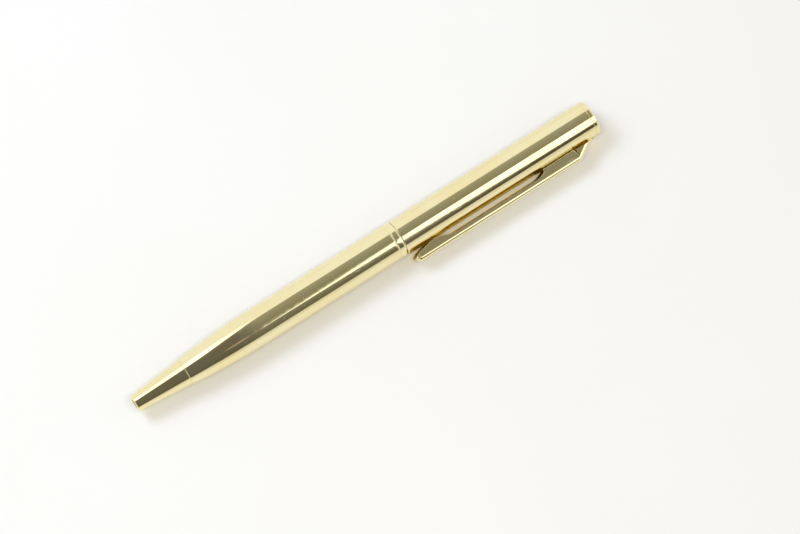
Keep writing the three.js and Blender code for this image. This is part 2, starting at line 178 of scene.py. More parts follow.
class PenStage(bpy.types.PropertyGroup):
    floor: colour("Floor", "Colour of the table", (0.9, 0.9, 0.888))
    upper_dark: colour("Upper room", "What the metal shows of the room above the softbox",
                       (0.385, 0.377, 0.315))
    lower_dark: colour("Lower room", "What the metal shows of the room below the softbox",
                       (0.2, 0.19, 0.155))
    end_dark: colour("Room beyond the nose", "What the nose shows of the unlit room",
                     (0.13, 0.122, 0.115))
    pale: colour("Pale side", "What the metal shows of the white wall", (0.99, 0.99, 0.98))
    fill: FloatProperty(name="Fill", description="Level of the soft light from all round",
                        default=0.48, min=0.0)
    key: power("Key", "Power of the cool lamp on the far side", 1.5)
    front: power("Front", "Power of the warm lamp behind the camera", 2.05)
    bounce: power("Bounce", "Power of the light that the gold throws into the gap under the clip",
                  0.00014)
    lens: FloatProperty(name="Lens", description="Focal length", default=145.2, unit="CAMERA")


# Mesh helpers

def mesh_object(name, points, faces=()):
    mesh = bpy.data.meshes.new(name)
    mesh.from_pydata([tuple(point) for point in points], [], [tuple(face) for face in faces])
    mesh.update()
    thing = bpy.data.objects.new(name, mesh)
    bpy.context.scene.collection.objects.link(thing)
    return thing


def make_plain(thing):
    """Turns what the modifiers give into the object's own mesh."""
    graph = bpy.context.evaluated_depsgraph_get()
    mesh = bpy.data.meshes.new_from_object(thing.evaluated_get(graph))
    mesh.name = thing.name
    thing.modifiers.clear()
    thing.data = mesh
    return thing


def mend(mesh, merge=0.0, thin=0.0, extra=None):
    """Mends a closed mesh, turns its faces outward, and adds another closed mesh to it."""
    shell = bmesh.new()
    shell.from_mesh(mesh)
    if merge:
        bmesh.ops.remove_doubles(shell, verts=shell.verts[:], dist=merge)
    if thin:
        bmesh.ops.dissolve_degenerate(shell, dist=thin, edges=shell.edges[:])
    bmesh.ops.recalc_face_normals(shell, faces=shell.faces[:])
    if extra:
        shell.from_mesh(extra)
    shell.to_mesh(mesh)
    shell.free()


def smooth(thing, angle=50):
    thing.data.shade_smooth()
    thing.data.set_sharp_from_angle(angle=math.radians(angle))


def hand_over(piece, body, slot, *nodes):
    """Gives a finished piece its body and hides the frame nodes that it stands for. The slot
    argument is not used.
    """
    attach(piece, body)
    if nodes:
        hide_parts(*nodes)


def rounded(corners, steps=6):
    """An outline in (place, radius, round) with its corners rounded and a point beside each."""
    points = []
    count = len(corners)
    for i, (place, radius, amount) in enumerate(corners):
        corner = Vector((place, radius))
        if amount <= 0:
            points.append(corner)
            continue
        back = (Vector(corners[i - 1][:2]) - corner).normalized()
        ahead = (Vector(corners[(i + 1) % count][:2]) - corner).normalized()
        half = back.angle(ahead) / 2
        reach = amount / math.tan(half)
        centre = corner + (back + ahead).normalized() * amount / math.sin(half)
        first = corner + back * reach - centre
        sweep = first.angle_signed(corner + ahead * reach - centre)
        points.append(corner + back * (reach + amount * 0.4))
        for step in range(steps + 1):
            turned = first.copy()
            turned.rotate(Matrix.Rotation(-sweep * step / steps, 2))
            points.append(centre + turned)
        points.append(corner + ahead * (reach + amount * 0.4))
    return points


# Nodes

def node(tree, kind, **settings):
    """A new node, placed to the right of or below the last one."""
    column, row = divmod(len(tree.nodes), NODES_IN_COLUMN)
    made = tree.nodes.new(kind)
    made.location = (column * NODE_WIDTH, -row * NODE_HEIGHT)
    for key, value in settings.items():
        setattr(made, key, value)
    return made


def link(tree, start, end):
    tree.links.new(start, end)


def feed(tree, socket, value):
    """Links a socket to an output, or sets its value. A colour of three gets its alpha."""
    if isinstance(value, bpy.types.NodeSocket):
        link(tree, value, socket)
    elif socket.type == "RGBA" and len(value) == 3:
        socket.default_value = (*value, 1.0)
    else:
        socket.default_value = value


def fed(tree, kind, values, **settings):
    """A new node whose inputs are fed by name or number."""
    made = node(tree, kind, **settings)
    for key, value in values.items():
        feed(tree, made.inputs[key], value)
    return made


def maths(tree, operation, *values):
    return fed(tree, "ShaderNodeMath", dict(enumerate(values)), operation=operation).outputs[0]


# The turned pieces

def turning_tree():
    """Turns an outline's points about the pen's axis into a closed skin."""
    found = bpy.data.node_groups.get("Turned piece")
    if found:
        return found
    tree = bpy.data.node_groups.new("Turned piece", "GeometryNodeTree")
    face = tree.interface
    face.new_socket("Outline", in_out="INPUT", socket_type="NodeSocketGeometry")
    face.new_socket("Facets", in_out="INPUT", socket_type="NodeSocketInt").default_value = 160
    face.new_socket("Axis Y", in_out="INPUT", socket_type="NodeSocketFloat")
    face.new_socket("Axis Z", in_out="INPUT", socket_type="NodeSocketFloat")
    face.new_socket("Start angle", in_out="INPUT", socket_type="NodeSocketFloat")
    face.new_socket("Finish", in_out="INPUT", socket_type="NodeSocketMaterial")
    face.new_socket("Geometry", in_out="OUTPUT", socket_type="NodeSocketGeometry")
    given = node(tree, "NodeGroupInput")
    outline, facets, axis_y, axis_z, begin, finish = given.outputs[:6]
    count = fed(tree, "GeometryNodeAttributeDomainSize", {0: outline}, component="MESH")
    columns = maths(tree, "ADD", facets, 1)
    grid = fed(tree, "GeometryNodeMeshGrid",
               {"Vertices X": count.outputs["Point Count"], "Vertices Y": columns})
    index = node(tree, "GeometryNodeInputIndex").outputs[0]
    row = maths(tree, "FLOOR", maths(tree, "DIVIDE", index, columns))
    column = maths(tree, "MODULO", index, columns)
    place = node(tree, "GeometryNodeInputPosition").outputs[0]
    sample = fed(tree, "GeometryNodeSampleIndex", {"Geometry": outline, "Index": row},
                 data_type="FLOAT_VECTOR", domain="POINT")
    link(tree, place, sample.inputs["Value"])
    parts = fed(tree, "ShaderNodeSeparateXYZ", {0: sample.outputs[0]})
    angle = maths(tree, "MULTIPLY_ADD", maths(tree, "DIVIDE", column, facets), math.tau, begin)
    y = maths(tree, "MULTIPLY", maths(tree, "COSINE", angle), parts.outputs[1])
    z = maths(tree, "MULTIPLY", maths(tree, "SINE", angle), parts.outputs[1])
    y = maths(tree, "ADD", y, axis_y)
    z = maths(tree, "ADD", z, axis_z)
    whole = fed(tree, "ShaderNodeCombineXYZ", {0: parts.outputs[0], 1: y, 2: z})
    moved = fed(tree, "GeometryNodeSetPosition",
                {"Geometry": grid.outputs["Mesh"], "Position": whole.outputs[0]})
    merged = fed(tree, "GeometryNodeMergeByDistance",
                 {"Geometry": moved.outputs[0], "Distance": MERGE})
    real = fed(tree, "GeometryNodeRealizeInstances", {0: merged.outputs[0]})
    coat = fed(tree, "GeometryNodeSetMaterial", {"Geometry": real.outputs[0], "Material": finish})
    fed(tree, "NodeGroupOutput", {0: coat.outputs[0]})
    return tree


def turned(name, outline, finish, facets, close=False):
    """A piece turned about the pen's axis from an outline in (place, radius)."""
    points = [(place, radius, 0.0) for place, radius in outline]
    if close:
        points.append(points[0])
    thing = mesh_object(name, points)
    tree = turning_tree()
    made = thing.modifiers.new("Turned", "NODES")
    made.node_group = tree
    values = {"Facets": facets, "Axis Y": AXIS_Y, "Axis Z": AXIS_Z, "Start angle": 0.0,
              "Finish": finish}
    for item in tree.interface.items_tree:
        if item.name in values:
            made[item.identifier] = values[item.name]
    make_plain(thing)
    mend(thing.data, thin=THIN)
    smooth(thing)
    return thing


def turned_piece(node_name, body, slot, outline, finish, facets, close=True):
    """A turned piece that stands for the frame node of the same name."""
    piece = turned("pen_" + node_name, outline, finish, facets, close)
    hand_over(piece, body, slot, node_name)


def taper(sizes, place):
    """The lower barrel's radius: an arc that runs out into the straight tube."""
    drop = sizes.radius - sizes.mouth_radius
    arc = (sizes.taper_length ** 2 + drop ** 2) / (2 * drop)
    left = max(0.0, SEAM + sizes.taper_length - place)
    return sizes.radius - arc + math.sqrt(arc ** 2 - left ** 2)


class PEN_OT_barrels(bpy.types.Operator):
    """Turns the nose cone, the two barrels, the centre ring and the cap"""
    bl_idname = "pen.barrels"
    bl_label = "Turn the barrels"

    def execute(self, context):
        sizes = context.scene.pen_barrel
        gold = gold_finish(context.scene.pen_finish)
        fit = 0.00005
        land = 0.003
        seat = sizes.mouth_radius - sizes.wall
        spigot = seat - fit
        counter = spigot - 0.00075
        nose = rounded([
            (NOSE_START, sizes.hole_radius, 0.00008),
            (NOSE_START, sizes.nose_radius, sizes.rim_round),
            (SEAM, sizes.mouth_radius - sizes.mouth_step, 0.00004),
            (SEAM, spigot, 0),
            (NOSE_SPIGOT, spigot, 0.0001),
            (NOSE_SPIGOT, counter, 0.0001),
            (NOSE_START + land + counter - sizes.hole_radius, counter, 0),
            (NOSE_START + land, sizes.hole_radius, 0),
        ])
        turned_piece("nose_cone", "lower", "gold_plate", nose, gold, sizes.facets)

        bore = sizes.radius - sizes.wall
        steps = 40
        swell = []
        hollow = []
        seat_end = NOSE_SPIGOT + 0.001
        for i in range(1, steps + 1):
            place = SEAM + sizes.taper_length * i / steps
            if place > SEAM + 2 * sizes.edge_round:
                swell.append((place, taper(sizes, place), 0))
            if place > seat_end:
                hollow.append((place, taper(sizes, place) - sizes.wall, 0))
        lower = rounded([
            (SEAM, sizes.mouth_radius - sizes.wall, 0),
            (SEAM, taper(sizes, SEAM), sizes.edge_round),
            *swell,
            (RING_START, sizes.radius, sizes.edge_round),
            (RING_START, bore, 0),
            *reversed(hollow),
            (seat_end, seat, 0),
        ])
        turned_piece("lower_barrel", "lower", "gold_plate", lower, gold, sizes.facets)

        inner = sizes.radius - 0.00115
        edge = sizes.radius - 0.00011
        crown = sizes.radius - 0.000004
        middle = (RING_START + RING_END) / 2
        ring = rounded([
            (RING_START, inner, 0),
            (RING_START, edge, 0.00004),
            (RING_START + sizes.ring_round, crown, 0.0002),
            (middle, sizes.radius, 0),
            (RING_END - sizes.ring_round, crown, 0.0002),
            (RING_END, edge, 0.00004),
            (RING_END, inner, 0),
        ])
        turned_piece("centre_ring", "lower", "gold_plate", ring, gold, sizes.facets)

        upper = rounded([
            (UPPER_START, bore, 0),
            (UPPER_START, sizes.radius, sizes.edge_round),
            (UPPER_END, sizes.radius, 0.00006),
            (UPPER_END, bore, 0),
        ])
        piece = turned("pen_upper_barrel", upper, gold, sizes.facets, close=True)
        cut_slot(piece, context.scene.pen_clip, sizes)
        hand_over(piece, "upper", "gold_plate", "upper_barrel")

        stem = bore - fit
        screw_hole = 0.00085
        hole_end = UPPER_END + 0.0002
        cap = rounded([
            (hole_end, 0, 0),
            (hole_end, screw_hole, 0),
            (CAP_SPIGOT, screw_hole, 0),
            (CAP_SPIGOT, stem, 0),
            (UPPER_END, stem, 0),
            (UPPER_END, sizes.radius, 0.0001),
            (CAP_END, sizes.radius, sizes.cap_round),
            (CAP_END, 0, 0),
        ])
        turned_piece("top_cap", "upper", "gold_plate", cap, gold, sizes.facets, False)
        return {"FINISHED"}


def root_place(clip, height, depth=0.0):
    """Where the sloping root crosses a height, on its outer face or at a depth in the sheet."""
    bend = UPPER_END - clip.root_length
    fall = clip.bend_height - depth / math.cos(clip.root_angle) - height
    return bend + fall / math.tan(clip.root_angle)


def pen_point(place, height, side):
    """A point of the clip: place along the pen, height towards the clip, and side across it."""
    return Vector((place, AXIS_Y, AXIS_Z)) + TO_CLIP * height + ACROSS * side


def cut_slot(piece, clip, sizes):
    """Cuts the slot that the clip's strip comes out of."""
    bore = sizes.radius - sizes.wall
    low = root_place(clip, sizes.radius, clip.sheet) - 0.0003
    high = max(root_place(clip, bore), UPPER_END - clip.tab_setback + clip.sheet) + 0.0003
    side = clip.tang_half_width + clip.tang_gap
    corners = []
    for place in (low, high):
        for height in (bore - sizes.wall, sizes.radius + sizes.wall):
            for across in (-side, side):
                corners.append(pen_point(place, height, across))
    faces = [(0, 1, 3, 2), (4, 6, 7, 5), (0, 4, 5, 1), (2, 3, 7, 6), (0, 2, 6, 4), (1, 5, 7, 3)]
    cutter = mesh_object("slot_cutter", corners, faces)
    mend(cutter.data)
    cut = piece.modifiers.new("Slot", "BOOLEAN")
    cut.operation = "DIFFERENCE"
    cut.solver = "EXACT"
    cut.object = cutter
    make_plain(piece)
    bpy.data.objects.remove(cutter, do_unlink=True)
    smooth(piece)


class PEN_OT_refill(bpy.types.Operator):
    """Turns the refill's tip and its ball, which come out when the pen is twisted"""
    bl_idname = "pen.refill"
    bl_label = "Turn the refill tip"

    def execute(self, context):
        finishes = context.scene.pen_finish
        steel = steel_finish(finishes)
        full = 0.001175
        inner = full - 0.00025
        cone_end = TIP_START + 0.0046
        outline = rounded([
            (TIP_START, 0.0003, 0),
            (TIP_START, 0.0005, 0.00006),
            (TIP_START + 0.0013, 0.00062, 0.00015),
            (TIP_START + 0.0016, 0.00082, 0.0001),
            (cone_end, full, 0.0002),
            (TUBE_START, full, 0.00004),
            (TUBE_START, inner, 0),
            (TIP_END, inner, 0),
            (TIP_END, 0.0002, 0),
            (TIP_START + 0.0006, 0.0002, 0),
        ])
        turned_piece("refill_tip", "refill", "steel", outline, steel, 96)
        low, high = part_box("refill_ball")
        radius = (high[0] - low[0]) / 2
        centre = (high[0] + low[0]) / 2
        steps = 24
        angles = [math.pi * i / steps for i in range(steps + 1)]
        arc = [(centre - radius * math.cos(a), radius * math.sin(a)) for a in angles]
        turned_piece("refill_ball", "refill", "steel", arc, steel, 48, False)
        return {"FINISHED"}


# The clip

def bezier(start, first, second, end, count):
    t = np.linspace(0, 1, count)[:, None]
    start, first, second, end = (np.array(p, float) for p in (start, first, second, end))
    return (start * (1 - t) ** 3 + 3 * first * t * (1 - t) ** 2
            + 3 * second * t ** 2 * (1 - t) + end * t ** 3)


def along(points, spacing):
    """Points evenly spaced along a line of points."""
    points = np.array(points, float)
    length = np.concatenate([[0], np.cumsum(np.linalg.norm(np.diff(points, axis=0), axis=1))])
    count = max(2, int(math.ceil(length[-1] / spacing)) + 1)
    wanted = np.linspace(0, length[-1], count)
    return np.stack([np.interp(wanted, length, points[:, k]) for k in range(points.shape[1])], 1)


class ClipShape:
    """The clip in millimetres: places along the pen, heights over its axis, sides across it."""

    def __init__(self, clip, barrel):
        self.width = clip.half_width * MM
        self.fold = clip.edge_round * MM
        self.flat = self.width - self.fold
        self.sheet = clip.sheet * MM
        self.tip = (RING_END + clip.tip_gap) * MM
        self.tip_round = clip.tip_round * MM
        self.tip_height = clip.tip_height * MM
        self.start_height = self.tip_height - self.tip_round
        self.bend_height = clip.bend_height * MM
        self.rim_height = clip.rim_height * MM
        self.end = UPPER_END * MM
        self.bend = self.end - clip.root_length * MM
        self.rise = (self.bend_height - self.tip_height) / (self.bend - self.tip)
        self.draft = clip.wall_draft
        self.angle = clip.root_angle
        self.fall = math.tan(self.angle)
        self.tang = clip.tang_half_width * MM
        self.tab_face = self.end - clip.tab_setback * MM + self.sheet
        radius = barrel.radius * MM
        inner_side = self.width - self.sheet - DRAWN_IN
        self.wall_edge = math.sqrt(radius ** 2 - inner_side ** 2) + WALL_GAP
        self.gusset_edge = math.sqrt(radius ** 2 - self.tang ** 2) + WALL_GAP
        self.fin_edge = self.wall_edge + DRAWN_IN
        self.fin_end = self.tip + clip.fin_length * MM
        self.peak = self.tip + clip.fin_peak * MM
        self.wall_start = self.bend - clip.cut_out_end * MM
        self.notch = clip.notch_width * MM
        self.notch_height = self.bend_height - clip.notch_depth * MM
        self.root = self.bend + (self.bend_height - self.gusset_edge) / self.fall

    def top(self, place):
        return self.tip_height + self.rise * (place - self.tip)

    def rim(self, place):
        return self.top(place) - self.rim_height

    def slope(self, place):
        return self.bend_height - (place - self.bend) * self.fall

    def sink(self, place):
        """How the section's corner lies below the spine, for a fold of radius 1."""
        reach = 1.2
        mitre = math.tan(self.angle / 2)
        if place < self.bend - reach:
            return np.array([0.0, -1.0])
        if place < self.bend:
            return np.array([-mitre * (1 - (self.bend - place) / reach), -1.0])
        share = min(1.0, (place - self.bend) / reach)
        level = np.array([-mitre, -1.0])
        steep = np.array([-math.sin(self.angle), -math.cos(self.angle)])
        return level * (1 - share) + steep * share

    def fin(self):
        """The leaf's outline, from the free end to the rim."""
        tip, peak, edge, end = self.tip, self.peak, self.fin_edge, self.fin_end
        flank = (end - peak) / 2
        return np.concatenate([
            bezier((tip, self.start_height), (tip + 0.2, edge + 1), (tip + 1.8, edge + 0.55),
                   (peak - 1.8, edge + 0.3), 200),
            bezier((peak - 1.8, edge + 0.3), (peak - 1, edge + 0.12), (peak - 0.9, edge),
                   (peak, edge), 60)[1:],
            bezier((peak, edge), (peak + flank, edge), (end - flank, self.rim(end) - 0.35),
                   (end, self.rim(end)), 120)[1:],
        ])

    def cut_out(self):
        """The end of the long cut-out, from the rim to the wall's edge."""
        wall, edge = self.wall_start, self.wall_edge
        start = wall - 2.5
        return np.concatenate([
            [(start - 1.0, self.rim(start - 1.0))],
            bezier((start, self.rim(start)), (wall - 0.9, self.rim(wall) - 0.1),
                   (wall, self.rim(wall) - 0.7), (wall, edge + 0.45), 80),
            bezier((wall, edge + 0.45), (wall, edge + 0.2), (wall - 0.2, edge + 0.02),
                   (wall + 0.05, edge), 20)[1:],
            [(wall + 2.6, edge)],
        ])

    def notch_side(self):
        """The wall's end beside the fold notch."""
        edge = self.wall_edge
        side = self.bend - self.notch
        return np.concatenate([
            [(self.bend - 1.6, edge)],
            bezier((side - 0.12, edge), (side, edge), (side, edge),
                   (side + 0.035, edge + 0.12), 8),
            [(self.bend - 0.01, self.notch_height)],
        ])

    def stations(self):
        """For each row the spine's place, then the place and height of the wall's edge."""
        fin, cut_out, notch_side = self.fin(), self.cut_out(), self.notch_side()
        found = []
        places = [self.tip + self.tip_round * (1 - math.cos(math.radians(90 * step / 16)))
                  for step in range(1, 17)]
        places += list(np.arange(self.tip + self.tip_round + SPACING, self.fin_end, SPACING))
        for place in places:
            found.append((place, place, float(np.interp(place, fin[:, 0], fin[:, 1]))))
        for place in np.linspace(self.fin_end, cut_out[0, 0], 61)[:-1]:
            found.append((place, place, self.rim(place)))
        curve = along(cut_out, spacing=0.1)
        tops = np.linspace(cut_out[0, 0], cut_out[-1, 0], len(curve))
        found += [(t, p, h) for t, (p, h) in zip(tops[:-1], curve[:-1])]
        for place in np.linspace(cut_out[-1, 0], notch_side[0, 0], 16)[:-1]:
            found.append((place, place, self.wall_edge))
        curve = along(notch_side, spacing=0.09)
        tops = np.linspace(notch_side[0, 0], self.bend, len(curve))
        found += [(t, p, h) for t, (p, h) in zip(tops, curve)]
        # The gusset beyond the notch, then the root until it meets the barrel
        gusset = self.bend + 1.15
        for share in np.linspace(0, 1, 15)[1:]:
            found.append((self.bend + (gusset - self.bend) * share,
                          self.bend + 0.02 + 0.06 * share,
                          self.notch_height + (self.gusset_edge - self.notch_height) * share))
        for place in np.linspace(gusset, self.root - 0.02, 26)[1:]:
            found.append((place, None, self.gusset_edge))
        return found

    def fold_line(self, place):
        """The fold's round at a place, and how the wall below it leans."""
        line = []
        ahead = place - self.tip
        lean = math.tan(self.draft)
        if ahead < self.tip_round:
            last = math.acos(1 - min(ahead, self.fold) / self.fold)
            for k in range(FINE + 1):
                turn = last * math.sin(math.pi / 2 * k / FINE)
                inset = self.fold * (1 - math.cos(turn))
                under = max(0.0, (self.tip_round - inset) ** 2 - (self.tip_round - ahead) ** 2)
                line.append((place, self.start_height + math.sqrt(under),
                             self.flat + self.fold * math.sin(turn)))
            return np.array(line), lean * min(1.0, ahead / self.tip_round)
        crest = np.array([place, self.top(place) if place <= self.bend else self.slope(place)])
        for k in range(FINE + 1):
            turn = (math.pi / 2 + self.draft) * k / FINE
            spot = crest + self.sink(place) * self.fold * (1 - math.cos(turn))
            line.append((spot[0], spot[1], self.flat + self.fold * math.sin(turn)))
        return np.array(line), lean

    def row(self, place, edge_place, edge_height):
        """Points across the sheet: one wall, the spine and the other wall."""
        line, lean = self.fold_line(place)
        if edge_place is None and line[-1, 1] < edge_height:
            keep = line[line[:, 1] > edge_height]
            before, beyond = keep[-1], line[len(keep)]
            share = (before[1] - edge_height) / max(1e-9, before[1] - beyond[1])
            line = np.vstack([keep, before + (beyond - before) * share])
        else:
            corner = line[-1]
            drop = corner[1] - edge_height
            if edge_place is None:
                edge_place = corner[0] - drop * self.fall
            line = np.vstack([line, (edge_place, edge_height, corner[2] - drop * lean)])
        length = np.concatenate([[0], np.cumsum(np.linalg.norm(np.diff(line, axis=0), axis=1))])
        total = length[-1]
        mark = min(length[FINE] if len(length) > FINE + 1 else total, 0.8 * total)
        wanted = [mark * k / FOLD_STEPS for k in range(FOLD_STEPS + 1)]
        wanted += [mark + (total - mark) * share for share in WALL_STEPS] + [total]
        half = [tuple(np.interp(w, length, line[:, k]) for k in range(3)) for w in wanted]
        right = [(half[0][0], half[0][1], self.flat * k / 4) for k in range(4)] + half
        return [(p, h, -s) for p, h, s in reversed(right[1:])] + right

    def strip(self):
        """The strip that goes through the slot and turns down to the eye."""
        turn_height = self.slope(self.tab_face)
        places = [self.root + 0.06]
        places += [self.root + (self.tab_face - self.root) * share
                   for share in np.linspace(0.25, 0.8, 4)]
        line = [(place, self.slope(place)) for place in places]
        line.append((self.tab_face - 0.07, turn_height + 0.03))
        return line + [(self.tab_face, turn_height - 0.14 - 0.2 * k) for k in range(9)]

    def rows(self):
        """Every row of the sheet, from the free end to the eye."""
        rows = [self.row(*station) for station in self.stations()]
        columns = len(rows[0])
        for place, height in self.strip():
            rows.append([(place, height, side)
                         for side in np.linspace(-self.tang, self.tang, columns)])
        rows = np.array(rows)
        # The bend is a small round, not a crease, and the walls' edges stay as they are
        near = np.exp(-((rows[:, columns // 2, 0] - self.bend) / 0.25) ** 2)
        weight = np.repeat(near[1:-1, None, None], columns, axis=1)
        weight[:, :5] = 0
        weight[:, -5:] = 0
        for _ in range(3):
            middle = (rows[:-2] + 2 * rows[1:-1] + rows[2:]) / 4
            rows[1:-1] = rows[1:-1] * (1 - weight) + middle * weight
        return rows


def sheet_mesh(rows, thickness, edge):
    """A closed sheet: an outer face, its inner face, and a rounded edge all the way round."""
    count, columns = rows.shape[:2]
    down = np.gradient(rows, axis=0)
    over = np.gradient(rows, axis=1)
    normals = np.cross(down, over)
    reach = np.linalg.norm(normals, axis=2, keepdims=True)
    normals = normals / np.maximum(reach, 1e-12)
    centre = rows.mean(axis=1, keepdims=True)
    centre[..., 1] -= 2
    outward = ((rows - centre) * normals).sum(axis=2, keepdims=True)
    normals = np.where(outward < 0, -normals, normals)
    # Where the outline turns back on itself a point takes its inner neighbour's direction
    half = columns // 2
    for step in range(1, half + 1):
        for j, inner in ((half + step, half + step - 1), (half - step, half - step + 1)):
            torn = (normals[:, j] * normals[:, inner]).sum(axis=1) < TORN
            normals[torn, j] = normals[torn, inner]
    loop = [(0, j) for j in range(columns)]
    loop += [(i, columns - 1) for i in range(1, count)]
    loop += [(count - 1, j) for j in range(columns - 2, -1, -1)]
    loop += [(i, 0) for i in range(count - 2, 0, -1)]
    i, j = np.array(loop).T
    border, facing = rows[i, j], normals[i, j]
    tangent = np.roll(border, -1, axis=0) - np.roll(border, 1, axis=0)
    away = np.cross(tangent, facing)
    away /= np.maximum(np.linalg.norm(away, axis=1, keepdims=True), 1e-12)
    inside = rows[np.clip(i, 1, count - 2), np.clip(j, 1, columns - 2)]
    if ((border - inside) * away).sum() < 0:
        away = -away
    room = np.linalg.norm(border - inside, axis=1)
    amount = np.minimum(edge, 0.4 * room)[:, None]
    outer = rows.copy()
    under = rows - normals * thickness
    outer[i, j] = border - away * amount
    under[i, j] = border - facing * thickness - away * amount
    # The rounded edge: for each ring how far in it is, how deep, and from which face
    profile = []
    steps = 3
    for k in range(1, steps + 1):
        turn = math.pi / 2 * k / steps
        profile.append((1 - math.sin(turn), 1 - math.cos(turn), 0))
    for k in range(steps):
        turn = math.pi / 2 * k / steps
        profile.append((1 - math.cos(turn), 1 - math.sin(turn), 1))
    points = [*outer.reshape(-1, 3), *under.reshape(-1, 3)]
    base = len(points)
    for inward, deep, far in profile:
        depth = thickness - amount * deep if far else amount * deep
        points += [*(border - away * amount * inward - facing * depth)]
    faces = []
    layer = count * columns
    for i in range(count - 1):
        for j in range(columns - 1):
            a = i * columns + j
            quad = (a, a + 1, a + columns + 1, a + columns)
            faces.append(quad)
            faces.append(tuple(layer + q for q in reversed(quad)))
    around = len(loop)
    strips = [[i * columns + j for i, j in loop]]
    for k in range(len(profile)):
        strips.append([base + k * around + n for n in range(around)])
    strips.append([layer + i * columns + j for i, j in loop])
    for first, second in zip(strips, strips[1:]):
        for n in range(around):
            m = (n + 1) % around
            faces.append((first[n], first[m], second[m], second[n]))
    return points, faces


class PEN_OT_clip(bpy.types.Operator):
    """Folds the clip from one sheet"""
    bl_idname = "pen.clip"
    bl_label = "Fold the clip"

    def execute(self, context):
        clip = context.scene.pen_clip
        barrel = context.scene.pen_barrel
        gold = gold_finish(context.scene.pen_finish)
        points, faces = sheet_mesh(ClipShape(clip, barrel).rows(), clip.sheet * MM, EDGE_ROUND)
        placed = [pen_point(p / MM, h / MM, s / MM) for p, h, s in points]
        piece = mesh_object("pen_clip", placed, faces)
        eye_start = UPPER_END - clip.tab_setback
        eye_end = eye_start + clip.sheet
        hole, rim = 0.00105, 0.0022
        eye = rounded([(place, radius, 0.00005) for place, radius in (
            (eye_start, hole), (eye_start, rim), (eye_end, rim), (eye_end, hole))], steps=3)
        ring = turned("clip_eye", eye, gold, 64, close=True)
        mend(piece.data, merge=2 * THIN, thin=THIN / 10, extra=ring.data)
        bpy.data.objects.remove(ring, do_unlink=True)
        piece.data.materials.clear()
        piece.data.materials.append(gold)
        smooth(piece, 55)
        hand_over(piece, "clip", "gold_plate", "clip")
        return {"FINISHED"}


# Finishes

def mixed(tree, factor, first, second, blend="MIX"):
    made = node(tree, "ShaderNodeMix", data_type="RGBA", blend_type=blend)
    made.clamp_factor = True
    share, *_, start, end = (socket for socket in made.inputs if socket.enabled)
    for socket, value in ((share, factor), (start, first), (end, second)):
        feed(tree, socket, value)
    return next(socket for socket in made.outputs if socket.enabled)


def noise(tree, vector, scale, detail=2.0):
    values = {"Scale": scale, "Detail": detail, "Roughness": 0.5, "Vector": vector}
    return fed(tree, "ShaderNodeTexNoise", values).outputs["Fac"]


def ranged(tree, value, low, high, to_low=0.0, to_high=1.0, kind="SMOOTHSTEP"):
    values = {"Value": value, "From Min": low, "From Max": high, "To Min": to_low,
              "To Max": to_high}
    made = fed(tree, "ShaderNodeMapRange", values, interpolation_type=kind)
    made.clamp = True
    return made.outputs["Result"]


def stretched(tree, vector, scale, turn=(0, 0, 0)):
    values = {"Scale": scale, "Rotation": turn, "Vector": vector}
    return fed(tree, "ShaderNodeMapping", values).outputs["Vector"]


def group_shell(name, inputs, outputs):
    tree = bpy.data.node_groups.new(name, "ShaderNodeTree")
    for label, kind, default in inputs:
        made = tree.interface.new_socket(label, in_out="INPUT", socket_type=kind)
        if default is not None:
            made.default_value = default
    for label, kind in outputs:
        tree.interface.new_socket(label, in_out="OUTPUT", socket_type=kind)
    return tree, node(tree, "NodeGroupInput"), node(tree, "NodeGroupOutput")


def handling_marks():
    """Hairline scratches and wiping marks, as a height and a mask."""
    found = bpy.data.node_groups.get("Handling marks")
    if found:
        return found
    tree, given, result = group_shell(
        "Handling marks",
        [("Vector", "NodeSocketVector", None), ("Fineness", "NodeSocketFloat", 1.0)],
        [("Height", "NodeSocketFloat"), ("Mask", "NodeSocketFloat")])
    sized = fed(tree, "ShaderNodeVectorMath", {
        0: given.outputs["Vector"], "Scale": given.outputs["Fineness"]}, operation="SCALE")
    masks = []
    for turn, scale in (((0.3, 0.2, 0.5), (260, 9000, 9000)),
                        ((-0.5, 0.4, -0.35), (300, 8000, 8000)),
                        ((0.1, -0.7, 1.2), (350, 10000, 10000))):
        lay = stretched(tree, sized.outputs[0], scale, turn)
        masks.append(ranged(tree, noise(tree, lay, 1.0, 1.0), 0.68, 0.76))
    every = maths(tree, "MAXIMUM", maths(tree, "MAXIMUM", masks[0], masks[1]), masks[2])
    patch = ranged(tree, noise(tree, sized.outputs[0], 420, 2.0), 0.42, 0.62)
    marks = maths(tree, "MULTIPLY", every, patch)
    link(tree, maths(tree, "MULTIPLY", marks, -1.0), result.inputs["Height"])
    link(tree, marks, result.inputs["Mask"])
    return tree


def dust_flecks():
    """Small sparse flecks of dust, as a mask."""
    found = bpy.data.node_groups.get("Dust flecks")
    if found:
        return found
    tree, given, result = group_shell(
        "Dust flecks",
        [("Vector", "NodeSocketVector", None), ("Density", "NodeSocketFloat", 0.3),
         ("Scale", "NodeSocketFloat", 2600.0)],
        [("Mask", "NodeSocketFloat")])
    vector = given.outputs["Vector"]
    warp = fed(tree, "ShaderNodeTexNoise", {"Scale": 5200, "Vector": vector})
    pushed = fed(tree, "ShaderNodeVectorMath", {
        0: warp.outputs["Color"], 1: (0.00035, 0.00035, 0.00035), 2: vector},
        operation="MULTIPLY_ADD")
    cells = fed(tree, "ShaderNodeTexVoronoi", {
        "Vector": pushed.outputs[0], "Scale": given.outputs["Scale"]})
    chance = fed(tree, "ShaderNodeSeparateColor", {0: cells.outputs["Color"]})
    some = maths(tree, "LESS_THAN", chance.outputs[0], given.outputs["Density"])
    reach = maths(tree, "MULTIPLY", chance.outputs[1], 0.2)
    spot = maths(tree, "LESS_THAN", cells.outputs["Distance"], reach)
    link(tree, maths(tree, "MULTIPLY", spot, some), result.inputs["Mask"])
    return tree


